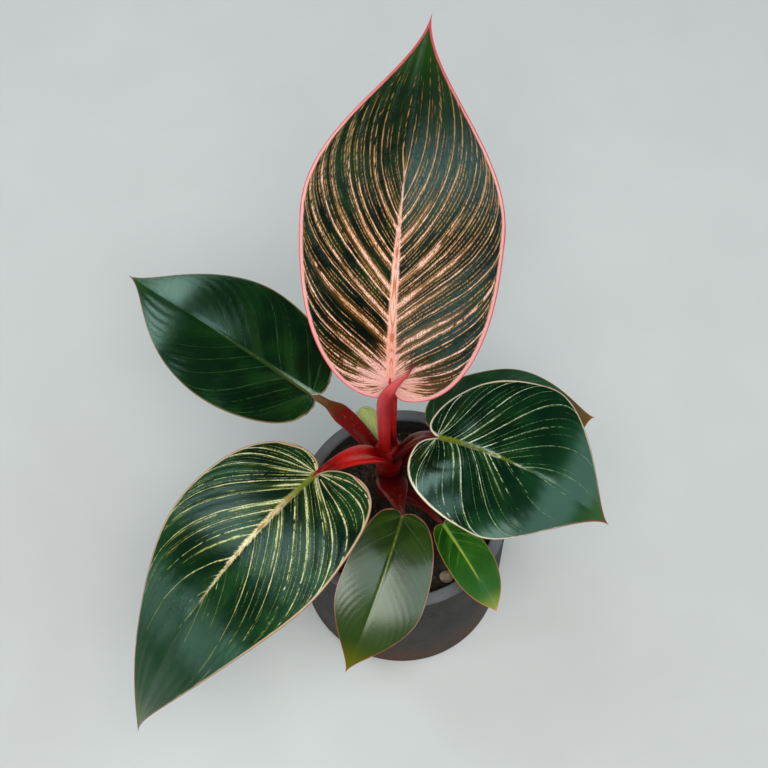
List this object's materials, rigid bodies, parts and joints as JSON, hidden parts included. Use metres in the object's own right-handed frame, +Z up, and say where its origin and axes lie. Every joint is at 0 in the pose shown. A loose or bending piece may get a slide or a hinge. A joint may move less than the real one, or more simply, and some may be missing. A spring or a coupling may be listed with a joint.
{
  "type": "potted variegated philodendron",
  "caption": "Young potted philodendron with heart-shaped, pinstriped leaves on red petioles, in a straight-sided grey pot of dark soil.",
  "frame": {"origin": "middle of the pot's underside, on the surface that it stands on", "axes": "+Z up, -Y to the front of the picture, +X to its right; the newest leaf points to +Y"},
  "size_m": [0.1735, 0.1878, 0.2383],
  "materials": {
    "grey_pot": "matte",
    "dark_soil": "matte",
    "beige_stone": "matte",
    "red_stem": "satin",
    "red_sheath": "satin",
    "pale_green": "satin",
    "striped_green": "satin",
    "plain_green": "satin",
    "light_green": "satin"
  },
  "bodies": {
    "root": {"pot": "grey_pot", "potting_soil": "dark_soil", "pebble": "beige_stone", "stem": "red_stem", "newest_leaf_blade": "striped_green", "newest_leaf_petiole": "red_stem", "left_upper_leaf_blade": "plain_green", "left_upper_leaf_petiole": "red_stem", "left_lower_leaf_blade": "striped_green", "left_lower_leaf_petiole": "red_stem", "right_leaf_blade": "striped_green", "right_leaf_petiole": "red_stem", "back_leaf_blade": "plain_green", "back_leaf_petiole": "red_stem", "front_leaf_blade": "plain_green", "front_leaf_petiole": "red_stem", "small_front_leaf_blade": "light_green", "small_front_leaf_petiole": "red_stem", "newest_leaf_sheath": "red_sheath", "pale_bract": "pale_green"}
  },
  "joints": []
}
